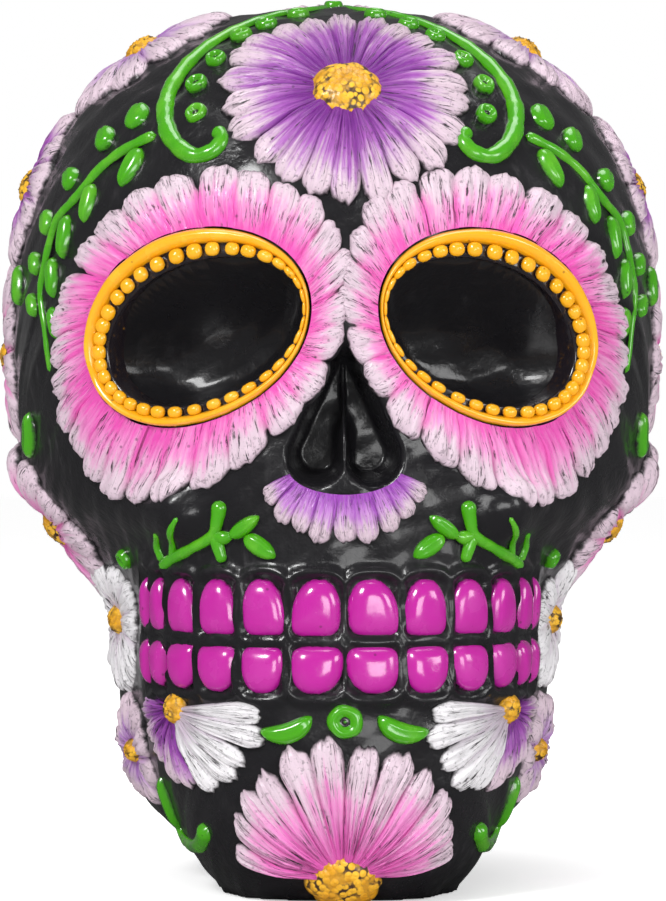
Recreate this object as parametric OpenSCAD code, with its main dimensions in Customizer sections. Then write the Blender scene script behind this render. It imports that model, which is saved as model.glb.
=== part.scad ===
// Painted sugar skull (calavera): a hollow cast skull with applied flowers, petals, vines and teeth.
// Units are millimetres. +Z is up, the face looks along -Y, and the origin is on the resting surface
// under the middle of the skull. Left and right are as seen from the front.

/* [Skull] */
// Half the width of the bare cranium
cranium_half_w = 55; // [50:1:60]
// Half the depth of the bare cranium, front to back
cranium_half_d = 61; // [56:1:66]
// Height of the bare crown above the resting surface
crown_h = 148.5; // [142:0.5:156]
// Half the width of the bare jaw
jaw_half_w = 33; // [31:0.5:36]
// Wall thickness of the hollow casting, along a ray from its middle
wall = 8; // [6:0.5:10]
// Radius of the pour hole under the jaw
pour_hole_r = 7; // [4:0.5:9]

/* [Eyes and nose] */
// Depth of an eye socket, along a ray from the casting's middle
socket_depth = 15; // [8:0.5:18]
// Depth of the nose opening
nose_depth = 9; // [4:0.5:12]
// Beads in one eye ring
bead_count = 36; // [20:1:36]
// Radius of one bead
bead_r = 1; // [0.6:0.05:1.05]
// Radius of a lobe of the nose opening
nose_lobe_r = 5; // [3.5:0.1:5.5]

/* [Relief] */
// Height of the petals above the skull
petal_h = 1.7; // [0.8:0.1:2.5]
// How deep the applied pieces sit in the skull
seat = 0.8; // [0.4:0.1:1.5]
// Height of the teeth above the gums
tooth_h = 2; // [1:0.1:3]
// Height of the leaves above the skull
leaf_h = 1.5; // [0.8:0.1:2.5]

/* [Mouth] */
// Height of the bite line above the resting surface
bite_z = 42.2; // [40:0.2:44]
// Length of an upper tooth
upper_tooth_l = 9.6; // [8:0.2:11]
// Length of a lower tooth
lower_tooth_l = 8; // [6:0.2:9]

/* [Hidden] */

// colours of the paint
BLACK = "#17161a";
PINK = "#e46bb4";
PURPLE = "#a878c8";
PALE = "#ded6dd";
GREEN = "#55b32d";
YELLOW = "#d9a62a";
AMBER = "#f2a20c";
MAGENTA = "#c62a9f";

// the middle that every ray to the surface starts from
EYE_OF_RAYS = [0, 0, 76];
BLEND = 2;          // radius of the soft joins between the skull's masses, mm
CRANIUM_HALF_H = 55.5;
CRANIUM_Z = crown_h - CRANIUM_HALF_H;

// ---------------------------------------------------------------- the skull's surface

function unit(v) = v / norm(v);
function mix(a, b, t) = a + (b - a) * t;
function clamp01(t) = max(0, min(1, t));
function smooth(t) = let (c = clamp01(t)) c * c * (3 - 2 * c);

// a rounded box, n between 2 (ellipsoid) and 3, as a rough distance
function lobe(p, c, r, n) =
    let (q = [for (i = [0:2]) pow(abs(p[i] - c[i]) / r[i], n)])
    (pow(q[0] + q[1] + q[2], 1 / n) - 1) * min(r);

// a rod from a to b whose radius goes from ra to rb
function rod(p, a, b, ra, rb) =
    let (t = clamp01((p - a) * (b - a) / ((b - a) * (b - a))))
    norm(p - mix(a, b, t)) - mix(ra, rb, t);

function soft_min(d, k) =
    let (m = min(d), s = [for (x = d) exp((m - x) / k)])
    m - k * ln(s * [for (x = s) 1]);
function carved(d, tool, k) = -soft_min([-d, tool], k);

// signed distance to the bare skin, without the sockets and the nose
function skin_field(p) =
    let (q = [abs(p[0]), p[1], p[2]])
    carved(
        soft_min([
            lobe(q, [0, 6, CRANIUM_Z], [cranium_half_w, cranium_half_d, CRANIUM_HALF_H], 2.3),
            lobe(q, [0, -19, 66], [33, 37.5, 34], 2.4),             // upper jaw
            lobe(q, [0, -19, 39], [jaw_half_w, 37.5, 41], 2.3),     // lower jaw
            lobe(q, [0, -26, 22], [25, 31, 26], 2.8),               // chin
            lobe(q, [27, -1, 42], [9.5, 16, 31], 2.6),              // back of the jaw
            lobe(q, [0, 9, 34], [29, 33, 38], 2.6),                 // neck
            rod(q, [49, -8, 70], [26, -47.5, 63], 4.5, 4),          // cheekbones
        ], BLEND),
        lobe(q, [46, -36, 47], [12, 22, 14.5], 2), 1                // hollow under the cheekbones
    );

// az is 0 at the face and 90 on the right side; el is the angle above the horizontal
function ray(az, el) = [sin(az) * cos(el), -cos(az) * cos(el), sin(el)];

// how far along the ray d the bare skin is
function reach(d, lo = 15, hi = 130, steps = 15) =
    steps == 0 ? (lo + hi) / 2 :
    let (mid = (lo + hi) / 2, outside = skin_field(EYE_OF_RAYS + mid * d) > 0)
    reach(d, outside ? lo : mid, outside ? mid : hi, steps - 1);

function on_skin(az, el) = EYE_OF_RAYS + reach(ray(az, el)) * ray(az, el);

function normal_at(p) =
    let (e = 0.2, f = skin_field(p))
    unit([
        skin_field(p + [e, 0, 0]) - f,
        skin_field(p + [0, e, 0]) - f,
        skin_field(p + [0, 0, e]) - f,
    ]);

// [place, right, up, outwards] on the skin
function patch(az, el) =
    let (p = on_skin(az, el), n = normal_at(p), right = unit(cross([0, 0, 1], n)))
    [p, right, cross(n, right), n];

// a point of a patch's flat plane, pressed onto the skin: [point, outward normal]
function pressed(f, uv) =
    let (
        p = f[0] + uv[0] * f[1] + uv[1] * f[2],
        n = normal_at(p),
        a = p - skin_field(p) * n,
        b = a - skin_field(a) * n
    )
    [b - skin_field(b) * n, n];

function lifted(q, h) = q[0] + h * q[1];

// ---------------------------------------------------------------- general solids

// faces that join rings of m points, with a point before the first ring and one after the last
function skein_faces(rings, m) = [
    for (i = [0:m - 1]) [0, 1 + (i + 1) % m, 1 + i],
    for (r = [0:rings - 2], i = [0:m - 1])
        let (a = 1 + r * m, j = (i + 1) % m) each [
            [a + i, a + j, a + m + j],
            [a + i, a + m + j, a + m + i],
        ],
    for (i = [0:m - 1])
        let (a = 1 + (rings - 1) * m) [a + i, a + (i + 1) % m, a + m],
];

module skein(first, rings, last) {
    m = len(rings[0]);
    polyhedron([first, for (r = rings) each r, last], skein_faces(len(rings), m), convexity = 6);
}

// a cushion on the skin: an outline round a patch's middle, with a domed top
module cushion(f, outline, h) {
    levels = [[1, -seat], [1, 0.45 * h], [0.66, h]];
    foot = pressed(f, [0, 0]);
    skein(
        lifted(foot, -seat - 0.2),
        [for (l = levels) [for (k = [len(outline) - 1:-1:0]) lifted(pressed(f, l[0] * outline[k]), l[1])]],
        lifted(foot, 1.08 * h)
    );
}

// an oval is [half width, half height, middle across, middle up, slope]
function oval(o, a) = [o[2] + o[0] * cos(a), o[3] + o[1] * sin(a) + o[4] * o[0] * cos(a)];
function round_oval(r) = [r, r, 0, 0, 0];

// how a petal's tip and its height fall away towards the crevice, at t from 0 to 1 across the petal
function petal_tip(t) = 1 - 0.17 * pow(abs(2 * t - 1), 2.4);
function petal_rise(t) = 1 - 0.6 * pow(abs(2 * t - 1), 2);

// A ring of petals from the inner oval to the outer one. Part of a ring runs from angle a0 to a1.
module petals(az, el, inner, outer, count, a0 = 0, a1 = 360, steps = 4) {
    f = patch(az, el);
    whole = a1 - a0 >= 360;
    spokes = count * steps + (whole ? 0 : 1);
    rows = [[0, 0.55], [0.5, 1], [0.86, 0.85], [1, -0.1]];
    function spoke_angle(i) = a0 + (a1 - a0) * i / (count * steps);
    function t_of(i) = (i % steps) / steps;
    function place(i, s) =
        mix(oval(inner, spoke_angle(i)), oval(outer, spoke_angle(i)), s * petal_tip(t_of(i)));
    function section(i) =
        let (in_foot = pressed(f, place(i, 0))) [
            for (r = rows) lifted(pressed(f, place(i, r[0])), r[1] * petal_h * petal_rise(t_of(i))),
            lifted(pressed(f, place(i, 0.98)), -seat),
            lifted(in_foot, -seat),
        ];
    sections = [for (i = [0:spokes - 1]) section(i)];
    m = len(rows) + 2;
    last = whole ? spokes - 1 : spokes - 2;
    sides = [
        for (i = [0:last], j = [0:m - 1])
            let (a = i * m, b = ((i + 1) % spokes) * m, k = (j + 1) % m) each [
                [a + j, b + k, a + k],
                [a + j, b + j, b + k],
            ],
    ];
    ends = whole ? [] : [
        for (j = [1:m - 2]) each [[0, j, j + 1], [last * m + m, last * m + m + j + 1, last * m + m + j]],
    ];
    polyhedron([for (s = sections) each s], concat(sides, ends), convexity = 8);
}

// stands its children on the skin, their +Z outwards
module stand_on_skin(az, el) {
    f = patch(az, el);
    multmatrix([for (i = [0:2]) [f[1][i], f[2][i], f[3][i], f[0][i]]])
        children();
}

// a domed flower centre or dot of radius r that stands h proud
module button(az, el, r, h) {
    sink = 1.5;
    stand_on_skin(az, el)
        rotate_extrude($fn = 24)
            polygon([
                [0, -sink], [0.85 * r, -sink], [r, 0.3 * h],
                for (a = [25:21.6:90]) [r * cos(a), h * (0.3 + 0.7 * sin(a))],
                [0, h],
            ]);
}

// a dot inside a thin raised ring
module ringed_dot(az, el, r) {
    button(az, el, 0.5 * r, 1.1);
    stand_on_skin(az, el)
        rotate_extrude($fn = 24)
            translate([r - 0.3, 0])
                circle(r = 0.45, $fn = 16);
}

// a smooth line through points, with steps points to each span
function smoothed(p, steps) = [
    for (i = [0:len(p) - 2], k = [0:steps - 1])
        let (
            t = k / steps,
            a = p[max(i - 1, 0)], b = p[i], c = p[i + 1], d = p[min(i + 2, len(p) - 1)]
        )
        0.5 * (
            2 * b + t * (c - a)
            + t * t * (2 * a - 5 * b + 4 * c - d)
            + t * t * t * (3 * b - a - 3 * c + d)
        ),
    p[len(p) - 1],
];

// a stem along [az, el] points, as thick as widths [start, middle, end]
module stem(way, widths, steps = 3) {
    line = smoothed(way, steps);
    n = len(line);
    spots = [for (w = line) on_skin(w[0], w[1])];
    normals = [for (p = spots) normal_at(p)];
    function along(i) = unit(spots[min(i + 1, n - 1)] - spots[max(i - 1, 0)]);
    function thick(i) =
        let (t = i / (n - 1))
        t < 0.5 ? mix(widths[0], widths[1], smooth(2 * t)) : mix(widths[1], widths[2], smooth(2 * t - 1));
    function hoop(i) =
        let (side = unit(cross(along(i), normals[i])), r = thick(i))
        [for (a = [0:60:300]) spots[i] + r * (cos(a) * side + sin(a) * normals[i])];
    skein(
        spots[0] - along(0) * thick(0) * 0.6,
        [for (i = [0:n - 1]) hoop(i)],
        spots[n - 1] + along(n - 1) * thick(n - 1) * 0.6
    );
}

// a leaf of length l and width w with its middle at az, el; it points at angle turn and bends by curl
module leaf(az, el, l, w, turn, curl = 0) {
    f = patch(az, el);
    function edge(t, side) =
        let (
            half = side * 0.5 * w * pow(sin(180 * pow(t, 0.8)), 0.8),
            a = turn + curl * (t - 0.5),
            c = l * (t - 0.5) * [cos(a), sin(a)]
        )
        c + half * [-sin(a), cos(a)];
    outline = [
        for (t = [0.02:0.24:0.98]) edge(t, -1),
        for (t = [0.98:-0.24:0.02]) edge(t, 1),
    ];
    cushion(f, outline, leaf_h);
}

module on_left() {
    mirror([1, 0, 0]) children();
}

// ---------------------------------------------------------------- the casting

EYE = [25, 14.2];                        // az and el of a socket's middle
LIP = [20.9, 15.6, 0.95, 1.75, -0.15];   // outer oval of the eye ring
SOCKET = [18, 11.6, -0.7, 1, -0.2];      // inner oval of the eye ring
EYE_PATCH = patch(EYE[0], EYE[1]);

// the nose opening's outline is that of a tapered rod seen from the front
NOSE_TOP = [0.6, 0, 88];
NOSE_BOTTOM = [4.6, 0, 71.5];

// how deep the sockets and the nose opening are at the point p of the bare skin
function hollow(p) =
    p[1] > 0 ? 0 :
    let (
        q = [abs(p[0]), p[1], p[2]] - EYE_PATCH[0],
        across = q * EYE_PATCH[1] - SOCKET[2],
        up = q * EYE_PATCH[2] - SOCKET[3] - SOCKET[4] * across,
        inside = 1 - pow(norm([across / SOCKET[0], up / SOCKET[1]]) / 1.04, 3),
        nose = rod([abs(p[0]), 0, p[2]], NOSE_TOP, NOSE_BOTTOM, 1.8, nose_lobe_r)
    )
    socket_depth * pow(max(inside, 0), 0.6) + nose_depth * smooth(-nose / 2);

// rows of rays from the crown down to the pour hole, closest together over the eyes and the nose
ROWS = [
    for (i = [1:7]) 90 - 7.7 * i,
    for (i = [1:14]) 36 - 3.2 * i,
    for (i = [1:12]) -9 - 4.5 * i,
    for (i = [1:4]) -63 - 5 * i,
];
COLUMNS = 56;
// the columns crowd together at the face
function column_az(i) = let (t = i / COLUMNS) 360 * t - 34 * sin(360 * t);
// what is this close to the ground is flattened onto it
FOOT_H = 1.2;

module skull_shell() {
    hole_el = -atan(EYE_OF_RAYS[2] / pour_hole_r);
    function above(floor_z, d) = d[2] < -0.1 ? (floor_z - EYE_OF_RAYS[2]) / d[2] : 1000;
    function carved_reach(d) = let (r = reach(d)) r - hollow(EYE_OF_RAYS + r * d);
    function outer_point(az, el) =
        let (d = ray(az, el), p = EYE_OF_RAYS + min(carved_reach(d), above(0, d)) * d)
        [p[0], p[1], p[2] < FOOT_H ? 0 : p[2]];
    function inner_point(az, el) =
        let (d = ray(az, el))
        EYE_OF_RAYS + min(carved_reach(d) - wall, above(wall, d)) * d;
    function hoop(el, inside = false) = [
        for (i = [0:COLUMNS - 1])
            inside ? inner_point(column_az(i), el) : outer_point(column_az(i), el)
    ];
    rim = hoop(hole_el);
    throat = [for (p = rim) [p[0], p[1], wall]];
    color(BLACK)
        skein(
            outer_point(0, 90),
            [
                for (el = ROWS) hoop(el),
                rim,
                throat,
                for (el = [-74, -60, -46, -32, -18, -4, 10, 24, 40, 56, 74]) hoop(el, true),
            ],
            inner_point(0, 90)
        );
}

module base_plug() {
    color("#8a6a4a")
        cylinder(r = pour_hole_r - 0.1, h = wall, $fn = 48);
}

// ---------------------------------------------------------------- eyes and nose

BEAD_LINE = mix(SOCKET, LIP, 0.26);
EYE_PETAL_TIPS = [32.5, 27.5, 6.5, 1.2, -0.25];

module eye_ring() {
    spokes = 36;
    // [part of the way from the socket's oval to the lip's, height]
    profile = [
        [1.06, -seat], [1.06, 0.9], [0.78, 2.3], [0.54, 1.2], [0.48, 0.4], [-0.03, 0.2], [-0.03, -2.8],
    ];
    m = len(profile);
    points = [
        for (i = [0:spokes - 1], q = profile)
            let (a = 360 * i / spokes)
            lifted(pressed(EYE_PATCH, mix(oval(SOCKET, a), oval(LIP, a), q[0])), q[1]),
    ];
    faces = [
        for (i = [0:spokes - 1], j = [0:m - 1])
            let (a = i * m, b = ((i + 1) % spokes) * m, k = (j + 1) % m) each [
                [a + j, a + k, b + k],
                [a + j, b + k, b + j],
            ],
    ];
    color(AMBER)
        polyhedron(points, faces, convexity = 6);
}

module eye_beads() {
    color(AMBER)
        for (i = [0:bead_count - 1])
            translate(lifted(pressed(EYE_PATCH, oval(BEAD_LINE, 360 * i / bead_count)), 0.2 + bead_r))
                sphere(r = bead_r, $fn = 16);
}

module eye_petals() {
    color(PINK)
        petals(EYE[0], EYE[1], LIP * 1.02, EYE_PETAL_TIPS, 26, steps = 3);
}

module nose_petals() {
    color(PURPLE)
        petals(0, -6, [9.2, 4.6, 0, 0, 0], [14.5, 13, 0, 0, 0], 9, 196, 344);
}

// ---------------------------------------------------------------- flowers

// side and back flowers: [az, el, radius, petals, radius of the centre]
TEMPLE = [79, 63, 17.5, 12, 3.8];
SIDE_UPPER = [89, 39, 16, 12, 4];
SIDE_MIDDLE = [100, 13, 18, 12, 3.8];
SIDE_LOWER = [86, -19, 17, 12, 4];
RAMUS = [70, -40, 12.5, 11, 3];
JAW_EDGE = [66, -56, 10, 9, 2.4];
REAR_UPPER = [126, 55, 16.5, 12, 4];
REAR_MIDDLE = [132, 24, 20, 12, 4.6];
REAR_LOWER = [133, -10, 19, 12, 4.2];
CROWN = [180, 72, 17.5, 12, 4.4];
BACK_UPPER = [180, 38, 21, 13, 4.8];
BACK_LOWER = [180, 2, 20.5, 12, 4.6];
CHIN = [0, -44];
CHIN_DROP = -18.5;          // from that patch's middle down to the chin flower's
CHIN_CENTRE_EL = -54.5;
JAW_FLOWER = [31.2, -41.4];
FOREHEAD = [1, 52];

module flower(shape, tint) {
    color(tint)
        petals(shape[0], shape[1], round_oval(0.7 * shape[4]), round_oval(shape[2]), shape[3], steps = 3);
}

module centre(shape) {
    color(YELLOW)
        button(shape[0], shape[1], shape[4], 2.6);
}

module forehead_petals() {
    color(PURPLE)
        petals(FOREHEAD[0], FOREHEAD[1], round_oval(4.6), [21.5, 26, 0, 1.6, 0], 22, steps = 3);
}

module forehead_centre() {
    color(YELLOW)
        button(FOREHEAD[0], FOREHEAD[1], 6.2, 3);
}

module chin_petals() {
    inner = [4.6, 4.6, 0, CHIN_DROP, 0];
    outer = [24, 24, 0, CHIN_DROP, 0];
    color(PINK)
        petals(CHIN[0], CHIN[1], inner, outer, 12, 3, 177, steps = 3);
}

module chin_centre() {
    color(YELLOW)
        intersection() {
            button(0, CHIN_CENTRE_EL, 6.4, 2.6);
            translate([-10, -70, 0])
                cube([20, 60, 20]);
        }
}

module jaw_petals() {
    outer = [17.5, 14, -4.5, 0, 0];
    color(PALE)
        petals(JAW_FLOWER[0], JAW_FLOWER[1], round_oval(2.2), outer, 10, 170, 368, steps = 3);
}

module jaw_flower_centre() {
    color(YELLOW)
        button(JAW_FLOWER[0], JAW_FLOWER[1], 2.8, 2.2);
}

// ---------------------------------------------------------------- teeth

// az of the gaps between the teeth on one side of the mouth
TOOTH_GAPS = [0, 9.1, 17.3, 25.4, 33, 38.8, 43];

module tooth(side, i, mid_z, length) {
    a = TOOTH_GAPS[i];
    b = TOOTH_GAPS[i + 1];
    el = -atan((EYE_OF_RAYS[2] - mid_z) / (norm(on_skin((a + b) / 2, -30) - EYE_OF_RAYS) * cos(30)));
    f = patch(side * (a + b) / 2, el);
    w = norm(on_skin(b, el) - on_skin(a, el)) - 0.7;
    outline = [
        for (t = [18:36:342])
            [
                0.5 * w * sign(cos(t)) * pow(abs(cos(t)), 0.55),
                0.5 * length * sign(sin(t)) * pow(abs(sin(t)), 0.6),
            ],
    ];
    cushion(f, outline, tooth_h);
}

module teeth(mid_z, length) {
    color(MAGENTA)
        for (side = [-1, 1], i = [0:len(TOOTH_GAPS) - 2])
            tooth(side, i, mid_z, length);
}

module upper_teeth() {
    teeth(bite_z + 0.3 + upper_tooth_l / 2, upper_tooth_l);
}

module lower_teeth() {
    teeth(bite_z - 0.3 - lower_tooth_l / 2, lower_tooth_l);
}

// ---------------------------------------------------------------- green painted relief

// [az, el] along the scroll beside the forehead flower, from the crown to its curl
SCROLL = [
    [12, 84], [18, 78.7], [31, 73.5], [37.5, 65.1], [39.6, 57.9], [39.1, 51.6], [37, 47.2], [33.5, 43.3],
    [28.2, 40.5], [24.3, 41], [22.9, 43], [24.6, 44.6],
];
// [az, el] of the ringed dots inside the scroll
VINE_DOTS = [[29.7, 47.1], [33, 52.6], [32.3, 58], [31.3, 64.6], [26.8, 68.7], [18.8, 73.8]];
// [az, el] along the leaf spray's stem
SPRAY = [
    [37.2, 43.9], [43.6, 41.8], [48.6, 39.3], [53.3, 35.5], [58.5, 32.5], [60.3, 27.9], [61.8, 22],
    [59.9, 16.8], [58.1, 9.4],
];
// leaves of the spray: [az, el, length, width, the way it points]
SPRAY_LEAVES = [
    [44.5, 47.3, 5.2, 4.6, 80], [51.2, 44.1, 4.8, 4, 60], [40.7, 39, 7, 3.6, 285],
    [57.8, 38.4, 4.4, 3.8, 50], [49.3, 34.2, 6.6, 3.2, 268], [62.8, 32.4, 4.8, 3.4, 60],
    [54.7, 29.8, 7.2, 3, 266], [57.2, 24, 6.8, 2.8, 257], [55.8, 17.2, 5.6, 2.4, 250],
    [65.3, 26.6, 4.4, 2.8, 60], [65, 20.4, 4.4, 2.6, 60],
];
// the branches of the cheek sprig: [[az, el] along it, widths]
CHEEK_STEMS = [
    [[[35.1, -24], [31.7, -22], [26.2, -19.3], [22.3, -17.2], [21.1, -14.3], [20.7, -11.6]], [1.1, 0.9, 1.3]],
    [[[34.6, -23], [35.6, -20.5], [34, -17.5]], [0.9, 0.8, 0.5]],
    [[[31.7, -22], [29.7, -17], [27.3, -13.8]], [0.8, 0.6, 0.4]],
    [[[22, -17], [21.1, -19.1], [20.4, -21.2]], [1, 1.1, 1.1]],
    [[[22.3, -17.2], [20.2, -17.4], [18.4, -16.9]], [0.9, 1.1, 0.6]],
];

// leaves between the flowers of the sides and the back
REAR_LEAVES = [
    [112, 38, 8, 4, 80], [113, -6, 8.5, 4, 100], [110, -23, 7.5, 3.8, 60], [153, 46, 7, 3.6, 60],
    [157, 19, 10, 4.6, 115], [158, -13, 10, 4.6, 70], [73, -1, 8, 3.6, 110], [77, 24, 7, 3.4, 75],
];

module scroll_vine() {
    color(GREEN)
        stem(SCROLL, [0.6, 1.6, 1.3], 2);
}

module vine_dots() {
    color(GREEN)
        for (d = VINE_DOTS)
            ringed_dot(d[0], d[1], 1.7);
}

module leaf_spray() {
    color(GREEN) {
        stem(SPRAY, [1, 0.9, 0.6], 2);
        for (l = SPRAY_LEAVES)
            leaf(l[0], l[1], l[2], l[3], l[4]);
    }
}

module cheek_sprig() {
    color(GREEN) {
        for (s = CHEEK_STEMS)
            stem(s[0], s[1], 2);
        leaf(16.4, -15.6, 6, 2.4, 146);
        leaf(13.8, -18.5, 6, 3, 213);
    }
}

module chin_leaf() {
    color(GREEN)
        leaf(9, -39.9, 9, 3.2, 345, 40);
}

module chin_dot() {
    color(GREEN)
        ringed_dot(0, -38.8, 2.9);
}

module jaw_hook() {
    color(GREEN) {
        stem([[46, -58], [42.5, -60.5], [36.5, -59], [29.5, -55.5], [25, -51.5]], [0.8, 1.2, 1.6], 2);
        leaf(44, -57, 9, 2.4, 95);
    }
}

module cheek_dot() {
    color(GREEN)
        ringed_dot(52, -25.6, 1.8);
}

module crown_dot() {
    color(GREEN)
        ringed_dot(0, 88, 1.7);
}

module rear_leaves() {
    color(GREEN)
        for (l = REAR_LEAVES)
            leaf(l[0], l[1], l[2], l[3], l[4]);
}

module both_sides() {
    children();
    on_left() children();
}

// ---------------------------------------------------------------- the part

skull_shell();
base_plug();
on_left() eye_ring();  // eye_ring_left
eye_ring();  // eye_ring_right
on_left() eye_beads();  // eye_beads_left
eye_beads();  // eye_beads_right
on_left() eye_petals();  // eye_petals_left
eye_petals();  // eye_petals_right
nose_petals();
forehead_petals();
forehead_centre();
chin_petals();
chin_centre();
on_left() jaw_petals();  // jaw_petals_left
jaw_petals();  // jaw_petals_right
both_sides() jaw_flower_centre();  // jaw_flower_centres
on_left() flower(TEMPLE, PURPLE);  // temple_petals_left
flower(TEMPLE, PURPLE);  // temple_petals_right
on_left() flower(SIDE_UPPER, PURPLE);  // side_upper_petals_left
flower(SIDE_UPPER, PURPLE);  // side_upper_petals_right
on_left() flower(SIDE_MIDDLE, PINK);  // side_middle_petals_left
flower(SIDE_MIDDLE, PINK);  // side_middle_petals_right
on_left() flower(SIDE_LOWER, PINK);  // side_lower_petals_left
flower(SIDE_LOWER, PINK);  // side_lower_petals_right
both_sides() for (s = [TEMPLE, SIDE_UPPER, SIDE_MIDDLE, SIDE_LOWER]) centre(s);  // side_flower_centres
on_left() flower(RAMUS, PALE);  // ramus_petals_left
flower(RAMUS, PALE);  // ramus_petals_right
on_left() flower(JAW_EDGE, PURPLE);  // jaw_edge_petals_left
flower(JAW_EDGE, PURPLE);  // jaw_edge_petals_right
both_sides() for (s = [RAMUS, JAW_EDGE]) centre(s);  // ramus_flower_centres
flower(CROWN, PINK);  // crown_petals
flower(BACK_UPPER, PURPLE);  // back_upper_petals
flower(BACK_LOWER, PINK);  // back_lower_petals
on_left() flower(REAR_UPPER, PINK);  // rear_upper_petals_left
flower(REAR_UPPER, PINK);  // rear_upper_petals_right
on_left() flower(REAR_MIDDLE, PINK);  // rear_middle_petals_left
flower(REAR_MIDDLE, PINK);  // rear_middle_petals_right
on_left() flower(REAR_LOWER, PURPLE);  // rear_lower_petals_left
flower(REAR_LOWER, PURPLE);  // rear_lower_petals_right
union() {  // back_flower_centres
    for (s = [CROWN, BACK_UPPER, BACK_LOWER]) centre(s);
    both_sides() for (s = [REAR_UPPER, REAR_MIDDLE, REAR_LOWER]) centre(s);
}
upper_teeth();
lower_teeth();
on_left() scroll_vine();  // scroll_vine_left
scroll_vine();  // scroll_vine_right
on_left() vine_dots();  // vine_dots_left
vine_dots();  // vine_dots_right
on_left() leaf_spray();  // leaf_spray_left
leaf_spray();  // leaf_spray_right
on_left() cheek_sprig();  // cheek_sprig_left
cheek_sprig();  // cheek_sprig_right
both_sides() chin_leaf();  // chin_leaves
chin_dot();
both_sides() jaw_hook();  // jaw_hooks
both_sides() cheek_dot();  // cheek_dots
crown_dot();
on_left() rear_leaves();  // rear_leaves_left
rear_leaves();  // rear_leaves_right
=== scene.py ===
import math

import bpy
import numpy as np
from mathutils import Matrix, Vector


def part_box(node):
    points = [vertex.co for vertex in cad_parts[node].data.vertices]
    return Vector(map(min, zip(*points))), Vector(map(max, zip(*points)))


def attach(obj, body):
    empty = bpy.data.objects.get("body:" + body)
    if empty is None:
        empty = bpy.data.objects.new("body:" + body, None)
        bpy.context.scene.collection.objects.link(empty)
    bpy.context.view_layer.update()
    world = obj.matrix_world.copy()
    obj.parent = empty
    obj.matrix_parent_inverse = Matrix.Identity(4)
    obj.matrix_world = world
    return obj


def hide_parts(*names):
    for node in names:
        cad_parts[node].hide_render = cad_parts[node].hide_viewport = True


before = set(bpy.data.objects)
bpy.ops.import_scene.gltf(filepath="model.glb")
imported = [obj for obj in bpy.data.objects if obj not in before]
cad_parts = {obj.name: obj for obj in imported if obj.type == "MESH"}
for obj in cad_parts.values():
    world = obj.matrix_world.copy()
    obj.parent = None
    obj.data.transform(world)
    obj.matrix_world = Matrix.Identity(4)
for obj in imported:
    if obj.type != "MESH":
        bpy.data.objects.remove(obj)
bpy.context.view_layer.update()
random = np.random.default_rng(7)
MM = 0.001

# ---------------------------------------------------------------- the skull's surface, as in the CAD

shell_low, shell_high = (np.array(v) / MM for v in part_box("skull_shell"))
CRANIUM_HALF_W = shell_high[0]
CROWN_H = shell_high[2]
CRANIUM_HALF_D = (shell_high[1] - shell_low[1]) / 2 - 1
CRANIUM_Y = shell_high[1] - CRANIUM_HALF_D
CRANIUM_HALF_H = 55.5
JAW_HALF_W = 33
MIDDLE = np.array([0, 0, 76])
BLEND = 2.0
EYE = (25, 14.2)                        # az and el of a socket's middle
LIP = (20.9, 15.6, 0.95, 1.75, -0.15)   # outer oval of the eye ring
SOCKET = (18, 11.6, -0.7, 1, -0.2)      # inner oval of the eye ring
SOCKET_DEPTH = 15
SOCKET_RIM = 1.04      # where a socket starts to sink, as a part of its oval
NOSE_TOP, NOSE_BOTTOM, NOSE_DEPTH = 88, 71.5, 9
NOSE_TOP_R, NOSE_LOBE_R = 1.8, 5
NOSE_TOP_X, NOSE_LOBE_X = 0.6, 4.6   # how far out the two lobes start and end


def smooth_step(t):
    t = np.clip(t, 0, 1)
    return t * t * (3 - 2 * t)


def lobe(p, centre, radii, n):
    """Rough signed distance to a rounded box; n is 2 for an ellipsoid and larger for a squarer box."""
    q = np.abs(p - np.array(centre)) / np.array(radii)
    return ((q**n).sum(-1) ** (1 / n) - 1) * min(radii)


def rod(p, a, b, ra, rb):
    """Signed distance to a rod from a to b whose radius goes from ra to rb."""
    a, b = np.array(a), np.array(b)
    t = np.clip(((p - a) @ (b - a)) / ((b - a) @ (b - a)), 0, 1)
    return np.linalg.norm(p - a - t[..., None] * (b - a), axis=-1) - (ra + t * (rb - ra))


def soft_min(distances, k):
    d = np.stack(distances)
    least = d.min(0)
    return least - k * np.log(np.exp((least - d) / k).sum(0))


def carved(d, tool, k):
    return -soft_min([-d, tool], k)


def skin_field(p):
    """Signed distance to the bare skin, without the sockets and the nose."""
    q = np.concatenate([np.abs(p[..., :1]), p[..., 1:]], -1)
    cranium_centre = (0, CRANIUM_Y, CROWN_H - CRANIUM_HALF_H)
    cranium_radii = (CRANIUM_HALF_W, CRANIUM_HALF_D, CRANIUM_HALF_H)
    masses = soft_min(
        [
            lobe(q, cranium_centre, cranium_radii, 2.3),
            lobe(q, (0, -19, 66), (33, 37.5, 34), 2.4),             # upper jaw
            lobe(q, (0, -19, 39), (JAW_HALF_W, 37.5, 41), 2.3),     # lower jaw
            lobe(q, (0, -26, 22), (25, 31, 26), 2.8),               # chin
            lobe(q, (27, -1, 42), (9.5, 16, 31), 2.6),              # back of the jaw
            lobe(q, (0, 9, 34), (29, 33, 38), 2.6),                 # neck
            rod(q, (49, -8, 70), (26, -47.5, 63), 4.5, 4),          # cheekbones
        ],
        BLEND,
    )
    return carved(masses, lobe(q, (46, -36, 47), (12, 22, 14.5), 2), 1)


def ray(az, el):
    """The direction at az (0 at the face, 90 on the right side) and el above the horizontal."""
    az, el = np.radians(az), np.radians(el)
    return np.stack(np.broadcast_arrays(np.sin(az) * np.cos(el), -np.cos(az) * np.cos(el), np.sin(el)), -1)


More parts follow.
